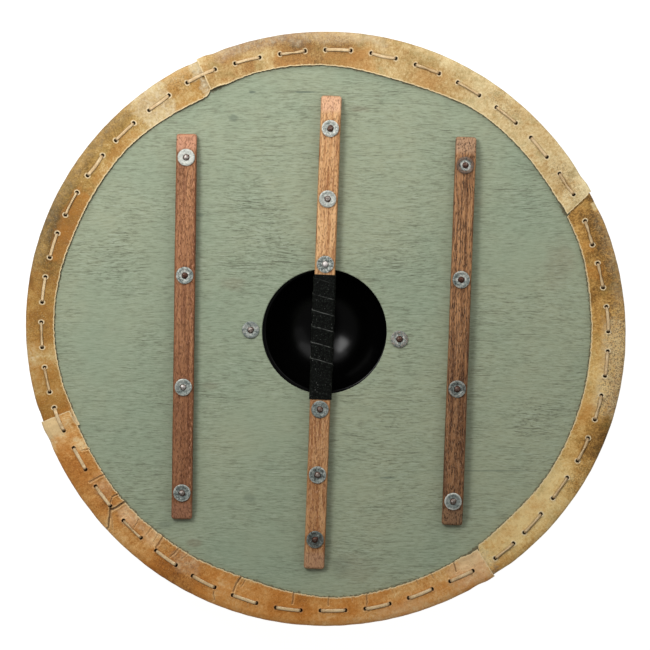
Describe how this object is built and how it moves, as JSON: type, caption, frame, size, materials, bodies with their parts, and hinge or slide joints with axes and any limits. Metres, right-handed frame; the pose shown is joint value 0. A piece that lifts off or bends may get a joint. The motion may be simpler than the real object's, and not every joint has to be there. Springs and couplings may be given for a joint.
{
  "type": "wooden round shield",
  "caption": "Round plywood shield with a rawhide rim laced on, riveted battens, a wrapped grip across the hand hole and a domed boss, lying grip side up.",
  "frame": {"origin": "on the floor under the middle of the shield, at the level of the boss's flat foot", "axes": "+Z up, along the shield's axis from its front to its grip side; the grip batten lies roughly along Y, and +X is to the right as the bearer's side is seen with +Y up"},
  "size_m": [0.6126, 0.6072, 0.076],
  "materials": {
    "green_paint": "thin matt sage green paint over plywood",
    "black_paint": "satin black paint on spun steel",
    "reddish_wood": "oiled reddish brown hardwood",
    "tan_wood": "oiled orange tan hardwood",
    "brown_wood": "oiled mid brown hardwood with coarse pores",
    "black_leather": "matt black leather strip",
    "golden_rawhide": "dried golden rawhide",
    "brown_rawhide": "dried golden brown rawhide with grey green mottling",
    "orange_rawhide": "dried orange brown rawhide with creases",
    "mottled_rawhide": "dried golden rawhide with dark mottling",
    "lace_hide": "pale hide thong",
    "rivet_steel": "hammered dull steel",
    "washer_zinc": "mottled galvanised steel"
  },
  "bodies": {
    "root": {"board": "green_paint", "boss": "black_paint", "left_batten": "reddish_wood", "grip_batten": "tan_wood", "right_batten": "brown_wood", "grip_wrap": "black_leather", "top_rim": "golden_rawhide", "left_rim": "brown_rawhide", "bottom_rim": "orange_rawhide", "right_rim": "mottled_rawhide", "lace": "lace_hide", "left_rivet_1": "rivet_steel", "left_rivet_2": "rivet_steel", "left_rivet_3": "rivet_steel", "left_rivet_4": "rivet_steel", "grip_rivet_1": "rivet_steel", "grip_rivet_2": "rivet_steel", "grip_rivet_3": "rivet_steel", "grip_rivet_4": "rivet_steel", "grip_rivet_5": "rivet_steel", "grip_rivet_6": "rivet_steel", "right_rivet_1": "rivet_steel", "right_rivet_2": "rivet_steel", "right_rivet_3": "rivet_steel", "right_rivet_4": "rivet_steel", "boss_rivet_1": "rivet_steel", "boss_rivet_2": "rivet_steel", "left_washer_1": "washer_zinc", "left_washer_2": "washer_zinc", "left_washer_3": "washer_zinc", "left_washer_4": "washer_zinc", "grip_washer_1": "washer_zinc", "grip_washer_2": "washer_zinc", "grip_washer_3": "washer_zinc", "grip_washer_4": "washer_zinc", "grip_washer_5": "washer_zinc", "grip_washer_6": "washer_zinc", "right_washer_1": "washer_zinc", "right_washer_2": "washer_zinc", "right_washer_3": "washer_zinc", "right_washer_4": "washer_zinc", "boss_washer_1": "washer_zinc", "boss_washer_2": "washer_zinc"}
  },
  "joints": []
}
